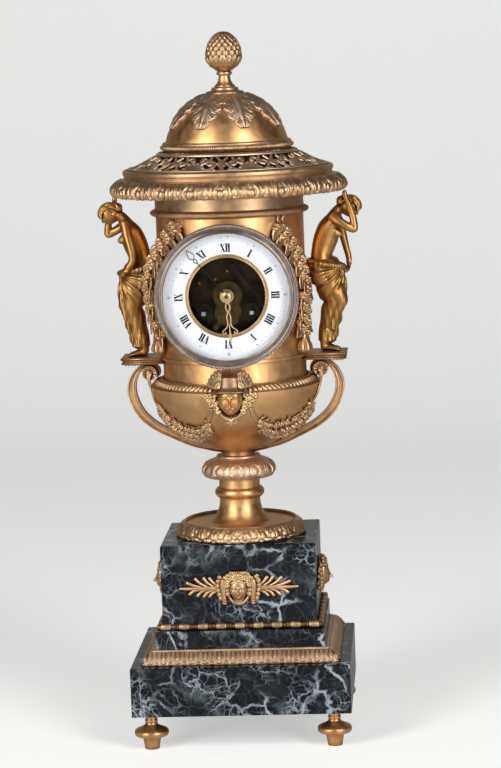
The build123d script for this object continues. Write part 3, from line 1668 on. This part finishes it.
# Winding arbors: square at the front, with a ratchet in front of the plate
for spot, name in ((going_spot, "going_arbor"), (strike_spot, "strike_arbor")):
    with BuildPart() as winding_arbor:
        with BuildSketch(facing(back_plate_back, *spot)):
            Circle(winding_radius)
        extrude(amount=back_plate_back - winding_front - winding_square_length)
        with BuildSketch(facing(winding_front + winding_square_length, *spot)):
            Rectangle(winding_square, winding_square)
        extrude(amount=winding_square_length)
        with BuildSketch(facing(front_plate_front - part_gap, *spot)):
            with BuildLine():
                Polyline(*saw_outline(ratchet_teeth, ratchet_radius, ratchet_tooth), close=True)
            make_face()
        extrude(amount=ratchet_thickness)
    winding_arbor.part.label = name
    export_step(winding_arbor.part, f"parts/{name}.step")


# Centre wheel and its pinion on the arbor that passes through the hands
barrel_bearing = bearing_of(-going_spot[0], -going_spot[1])
center_turn = meshing_turn(0, barrel_teeth, pinion_teeth, barrel_bearing)
third_reach = hypot(*third_spot)
third_bearing = bearing_of(*third_spot)
with BuildPart() as center_wheel:
    add_rod(facing(back_plate_back), arbor_radius, back_plate_back - arbor_front)
    add_toothed(facing(barrel_back), pinion_teeth, center_pinion_pitch, center_turn, pinion_length)
    add_toothed(
        facing(center_wheel_front + wheel_thickness),
        center_teeth,
        pitch_share(third_reach, center_teeth, third_pinion_teeth),
        0,
        wheel_thickness,
    )
center_wheel.part.label = "center_wheel"
export_step(center_wheel.part, "parts/center_wheel.step")

# Third wheel
escape_reach = hypot(escape_spot[0] - third_spot[0], escape_spot[1] - third_spot[1])
escape_bearing = bearing_of(escape_spot[0] - third_spot[0], escape_spot[1] - third_spot[1])
third_turn = meshing_turn(0, center_teeth, third_pinion_teeth, third_bearing)
with BuildPart() as third_wheel:
    add_rod(facing(back_plate_back, *third_spot), pivot_radius, back_plate_back - front_plate_front)
    add_toothed(
        facing(center_wheel_front + wheel_thickness + part_gap, *third_spot),
        third_pinion_teeth,
        pitch_share(third_reach, third_pinion_teeth, center_teeth),
        third_turn,
        wheel_thickness + 2 * part_gap,
    )
    add_toothed(
        facing(third_wheel_front + wheel_thickness, *third_spot),
        third_teeth,
        pitch_share(escape_reach, third_teeth, escape_pinion_teeth),
        0,
        wheel_thickness,
    )
third_wheel.part.label = "third_wheel"
export_step(third_wheel.part, "parts/third_wheel.step")

# Escape wheel
escape_turn = meshing_turn(0, third_teeth, escape_pinion_teeth, escape_bearing)
with BuildPart() as escape_wheel:
    add_rod(facing(back_plate_back, *escape_spot), pivot_radius, back_plate_back - front_plate_front)
    add_toothed(
        facing(third_wheel_front + wheel_thickness + part_gap, *escape_spot),
        escape_pinion_teeth,
        pitch_share(escape_reach, escape_pinion_teeth, third_teeth),
        escape_turn,
        wheel_thickness + 2 * part_gap,
    )
    with BuildSketch(facing(escape_wheel_front + wheel_thickness, *escape_spot)):
        with BuildLine():
            Polyline(*saw_outline(escape_teeth, escape_radius, escape_tooth), close=True)
        make_face()
    extrude(amount=wheel_thickness)
escape_wheel.part.label = "escape_wheel"
export_step(escape_wheel.part, "parts/escape_wheel.step")

# Cannon pinion on the centre arbor, with the collet that holds the minute hand
minute_turn = meshing_turn(0, cannon_teeth, minute_wheel_teeth, 180)
hour_turn = meshing_turn(0, minute_pinion_teeth, hour_wheel_teeth, 0)
minute_wheel_back = minute_wheel_front + wheel_thickness
with BuildPart() as cannon_pinion:
    add_toothed(
        facing(minute_wheel_back + part_gap),
        cannon_teeth,
        pitch_share(minute_wheel_drop, cannon_teeth, minute_wheel_teeth),
        0,
        wheel_thickness + 2 * part_gap,
    )
    add_rod(facing(minute_wheel_back), cannon_radius, minute_wheel_back - minute_hand_front)
    add_rod(facing(minute_hand_front), cannon_radius * 1.5, collet_thickness)
    with BuildSketch(facing(minute_wheel_back + part_gap)):
        Circle(arbor_radius + fit_gap)
    extrude(amount=minute_wheel_back - arbor_front, mode=Mode.SUBTRACT)
cannon_pinion.part.label = "cannon_pinion"
export_step(cannon_pinion.part, "parts/cannon_pinion.step")

# Minute wheel with its pinion, on the stud of the front plate
with BuildPart() as minute_wheel:
    add_toothed(
        facing(minute_wheel_back, *minute_spot),
        minute_wheel_teeth,
        pitch_share(minute_wheel_drop, minute_wheel_teeth, cannon_teeth),
        minute_turn,
        wheel_thickness,
    )
    add_toothed(
        facing(minute_wheel_front, *minute_spot),
        minute_pinion_teeth,
        pitch_share(minute_wheel_drop, minute_pinion_teeth, hour_wheel_teeth),
        0,
        minute_pinion_length,
    )
    with BuildSketch(facing(minute_wheel_back, *minute_spot)):
        Circle(pivot_radius + fit_gap)
    extrude(amount=wheel_thickness + minute_pinion_length, mode=Mode.SUBTRACT)
minute_wheel.part.label = "minute_wheel"
export_step(minute_wheel.part, "parts/minute_wheel.step")

# Hour wheel and its pipe, which turns on the cannon
hour_wheel_back = hour_wheel_front + wheel_thickness
with BuildPart() as hour_wheel:
    add_toothed(
        facing(hour_wheel_back),
        hour_wheel_teeth,
        pitch_share(minute_wheel_drop, hour_wheel_teeth, minute_pinion_teeth),
        hour_turn,
        wheel_thickness,
    )
    add_rod(facing(hour_wheel_back), hour_pipe_radius, hour_wheel_back - hour_hand_front)
    with BuildSketch(facing(hour_wheel_back)):
        Circle(cannon_radius + fit_gap)
    extrude(amount=hour_wheel_back - hour_hand_front, mode=Mode.SUBTRACT)
hour_wheel.part.label = "hour_wheel"
export_step(hour_wheel.part, "parts/hour_wheel.step")

# Minute hand: a slim blade that opens into a pierced lozenge near its point
with BuildPart() as minute_hand:
    with BuildSketch(facing_turned(minute_hand_front + hand_thickness, minute_hand_turn)):
        with BuildLine():
            Polyline(
                (-hand_width * 0.16, 0),
                (-hand_width * 0.13, minute_hand_length * 0.66),
                (-hand_width * 0.5, minute_hand_length * 0.82),
                (0, minute_hand_length),
                (hand_width * 0.5, minute_hand_length * 0.82),
                (hand_width * 0.13, minute_hand_length * 0.66),
                (hand_width * 0.16, 0),
                close=True,
            )
        make_face()
        with Locations((0, minute_hand_length * 0.82)):
            Circle(hand_width * 0.26, mode=Mode.SUBTRACT)
        with Locations((0, minute_hand_length * 0.68)):
            Circle(hand_width * 0.3)
            Circle(hand_width * 0.15, mode=Mode.SUBTRACT)
        Circle(minute_hand_tail)
        Circle(cannon_radius, mode=Mode.SUBTRACT)
    extrude(amount=hand_thickness)
minute_hand.part.label = "minute_hand"
export_step(minute_hand.part, "parts/minute_hand.step")

# Hour hand: two pierced loops and a three-lobed cross with a point
with BuildPart() as hour_hand:
    with BuildSketch(facing_turned(hour_hand_front + hand_thickness, hour_hand_turn)):
        for along, width in ((0.24, hand_width), (0.46, hand_width * 0.9)):
            with Locations((0, hour_hand_length * along)):
                SlotOverall(hour_hand_length * 0.24, width, rotation=90)
                SlotOverall(
                    hour_hand_length * 0.24 - hand_slit,
                    width - hand_slit,
                    rotation=90,
                    mode=Mode.SUBTRACT,
                )
        with Locations((0, hour_hand_length * 0.5)):
            Rectangle(hand_slit, hour_hand_length * 0.88)
        with Locations((0, hour_hand_length * 0.8)):
            SlotOverall(hand_width * 1.9, hand_width * 0.42)
        with Locations((0, hour_hand_length * 0.88)):
            RegularPolygon(hour_hand_length * 0.12, 3, rotation=90)
        Circle(hour_pipe_radius * 1.7)
        Circle(hour_pipe_radius, mode=Mode.SUBTRACT)
    extrude(amount=hand_thickness)
hour_hand.part.label = "hour_hand"
export_step(hour_hand.part, "parts/hour_hand.step")

# Strike lever, a bent steel strip in front of the plate
with BuildPart() as strike_lever:
    with BuildSketch(facing(front_plate_front - part_gap, *lever_spot)):
        with BuildLine():
            Polyline(
                (0, 0),
                (lever_run, -lever_fall),
                (lever_run + lever_tail_run, -lever_fall - lever_tail_fall),
            )
            offset(amount=lever_width / 2)
        make_face()
        Circle(pivot_radius + fit_gap, mode=Mode.SUBTRACT)
    extrude(amount=lever_thickness)
strike_lever.part.label = "strike_lever"
export_step(strike_lever.part, "parts/strike_lever.step")

# Anchor on its arbor, with the crutch behind the back plate
cock_face = back_plate_back + cock_thickness
cock_underside = pendulum_pivot_rise + suspension_rise
crutch_back = cock_face + part_gap + crutch_width / 2
with BuildPart() as pallets:
    add_rod(
        facing(crutch_back, *pallet_spot),
        pivot_radius,
        crutch_back - front_plate_front,
    )
    with BuildSketch(facing(anchor_front + anchor_thickness, *pallet_spot)):
        with BuildLine():
            Polyline(
                (-anchor_reach - anchor_width, -anchor_drop),
                (-anchor_reach - anchor_width, -anchor_drop * 0.4),
                (0, anchor_width),
                (anchor_reach + anchor_width, -anchor_drop * 0.4),
                (anchor_reach + anchor_width, -anchor_drop),
                (anchor_reach, -anchor_drop),
                (anchor_reach, -anchor_drop * 0.5),
                (0, -anchor_width),
                (-anchor_reach, -anchor_drop * 0.5),
                (-anchor_reach, -anchor_drop),
                close=True,
            )
        make_face()
    extrude(amount=anchor_thickness)
    with BuildSketch(facing(crutch_back, *pallet_spot)):
        with Locations((0, -crutch_length / 2)):
            Rectangle(crutch_width, crutch_length)
        with Locations((0, -crutch_length)):
            Rectangle(pendulum_rod_width + 2 * fork_wall, crutch_width * 1.5)
    extrude(amount=crutch_width / 2)
    with BuildSketch(facing(fork_back, *pallet_spot)):
        for side in (-1, 1):
            with Locations((side * (pendulum_rod_width + fork_wall) / 2, -crutch_length)):
                Rectangle(fork_wall, crutch_width * 1.5)
    extrude(amount=fork_back - cock_face - part_gap)
pallets.part.label = "pallets"
export_step(pallets.part, "parts/pallets.step")

# Pendulum: suspension spring, flat rod and lenticular bob
bob_level = pendulum_pivot_rise - pendulum_length
spring_length = suspension_rise - part_gap
with BuildPart() as pendulum:
    with BuildSketch(facing(pendulum_depth + pendulum_rod_thickness / 2)):
        with Locations((0, pendulum_pivot_rise + spring_length / 2)):
            Rectangle(2 * pendulum_rod_width, spring_length)
        with Locations((0, (pendulum_pivot_rise + bob_level) / 2)):
            Rectangle(pendulum_rod_width, pendulum_length)
    extrude(amount=pendulum_rod_thickness)
    bob_section = Plane(origin=(0, 0, dial_z + bob_level), x_dir=(1, 0, 0), z_dir=(0, 0, 1))
    with BuildSketch(bob_section):
        with BuildLine():
            ThreePointArc(
                (0, pendulum_depth - bob_thickness / 2),
                (bob_radius * 0.7, pendulum_depth - bob_thickness * 0.3),
                (bob_radius, pendulum_depth),
            )
            ThreePointArc(
                (bob_radius, pendulum_depth),
                (bob_radius * 0.7, pendulum_depth + bob_thickness * 0.3),
                (0, pendulum_depth + bob_thickness / 2),
            )
            Line((0, pendulum_depth + bob_thickness / 2), (0, pendulum_depth - bob_thickness / 2))
        make_face()
    revolve(axis=Axis((0, 0, dial_z + bob_level), (0, 1, 0)))
pendulum.part.label = "pendulum"
export_step(pendulum.part, "parts/pendulum.step")

# Suspension cock on the back plate, and the cock that holds the minute wheel on its stud
cock_top = regulator_rise + cock_height / 2
with BuildPart() as cocks:
    with BuildSketch(facing(cock_face)):
        with Locations((0, (cock_top + pendulum_pivot_rise - cock_height) / 2)):
            Rectangle(cock_width, cock_top - pendulum_pivot_rise + cock_height)
        with Locations(pallet_spot):
            Circle(pivot_radius + fit_gap, mode=Mode.SUBTRACT)
    extrude(amount=cock_thickness)
    with BuildSketch(facing(cock_back)):
        with Locations((0, (cock_top + cock_underside) / 2)):
            Rectangle(cock_width * 0.6, cock_top - cock_underside)
    extrude(amount=cock_back - cock_face)
    with BuildSketch(facing(cock_back)):
        with Locations((0, regulator_rise)):
            Circle(regulator_radius + fit_gap)
    extrude(amount=cock_back - back_plate_back, mode=Mode.SUBTRACT)
    with BuildSketch(facing(front_plate_front, -minute_cock_offset, -minute_cock_drop)):
        Circle(minute_cock_width / 2)
    extrude(amount=front_plate_front - minute_cock_back)
    with BuildSketch(facing(minute_cock_back)):
        with BuildLine() as cock_line:
            Line((-minute_cock_offset, -minute_cock_drop), minute_spot)
        SlotArc(cock_line.wire(), minute_cock_width)
        with Locations(minute_spot):
            Circle(pivot_radius, mode=Mode.SUBTRACT)
    extrude(amount=wheel_thickness)
cocks.part.label = "cocks"
export_step(cocks.part, "parts/cocks.step")

# Regulator arbor from the hole at twelve back to the suspension cock
with BuildPart() as regulator_arbor:
    add_rod(
        facing(cock_back - part_gap, 0, regulator_rise),
        regulator_radius,
        cock_back - part_gap - enamel_front + part_gap,
    )
regulator_arbor.part.label = "regulator_arbor"
export_step(regulator_arbor.part, "parts/regulator_arbor.step")

# Pin wheel of the strike, driven by the strike barrel
pin_turn = meshing_turn(0, barrel_teeth, pinion_teeth, pin_wheel_bearing)
with BuildPart() as pin_wheel:
    add_rod(facing(back_plate_back, *pin_spot), pivot_radius, back_plate_back - front_plate_front)
    add_toothed(
        facing(barrel_front + barrel_rim_thickness + part_gap, *pin_spot),
        pinion_teeth,
        center_pinion_pitch,
        pin_turn,
        barrel_rim_thickness,
    )
    add_rod(facing(pin_wheel_front + wheel_thickness, *pin_spot), pin_wheel_radius, wheel_thickness)
    with BuildSketch(facing(pin_wheel_front + wheel_thickness, *pin_spot)):
        with PolarLocations(pin_wheel_radius - 3 * pin_radius, pin_count):
            Circle(pin_radius)
    extrude(amount=-pin_length)
pin_wheel.part.label = "pin_wheel"
export_step(pin_wheel.part, "parts/pin_wheel.step")

# Bell, a turned cup that opens to the front
with BuildPart() as bell:
    with BuildSketch(dial_section):
        with BuildLine():
            bell_back = bell_front + bell_depth
            Line((bell_radius - bell_wall, bell_front), (bell_radius, bell_front))
            ThreePointArc(
                (bell_radius, bell_front),
                (bell_radius * 0.8, bell_front + bell_depth * 0.7),
                (bell_post_radius, bell_back),
            )
            Line((bell_post_radius, bell_back), (bell_post_radius, bell_back - bell_wall))
            ThreePointArc(
                (bell_post_radius, bell_back - bell_wall),
                (bell_radius * 0.8 - bell_wall * 0.7, bell_front + bell_depth * 0.7 - bell_wall * 0.7),
                (bell_radius - bell_wall, bell_front),
            )
        make_face()
    revolve(axis=dial_axis)
bell.part.label = "bell"
export_step(bell.part, "parts/bell.step")

# Hammer: an arbor through both plates, an arm behind the back plate and a head beside the bell
head_circle = bell_radius + hammer_gap + hammer_head_radius
head_spot = (
    -head_circle * sin(radians(hammer_head_bearing)),
    head_circle * cos(radians(hammer_head_bearing)),
)
hammer_arm_front = back_plate_back + 2 * part_gap
with BuildPart() as hammer:
    add_rod(
        facing(hammer_arm_front + cock_thickness, *hammer_spot),
        pivot_radius,
        hammer_arm_front + cock_thickness - front_plate_front,
    )
    with BuildSketch(facing(hammer_arm_front + cock_thickness)):
        with BuildLine() as arm_line:
            Line(hammer_spot, head_spot)
        SlotArc(arm_line.wire(), hammer_arm_width)
    extrude(amount=cock_thickness)
    head_back = bell_front + hammer_head_length / 2
    add_rod(facing(head_back, *head_spot), hammer_head_radius, hammer_head_length)
    add_rod(facing(head_back, *head_spot), hammer_arm_width / 2, head_back - hammer_arm_front)
hammer.part.label = "hammer"
export_step(hammer.part, "parts/hammer.step")
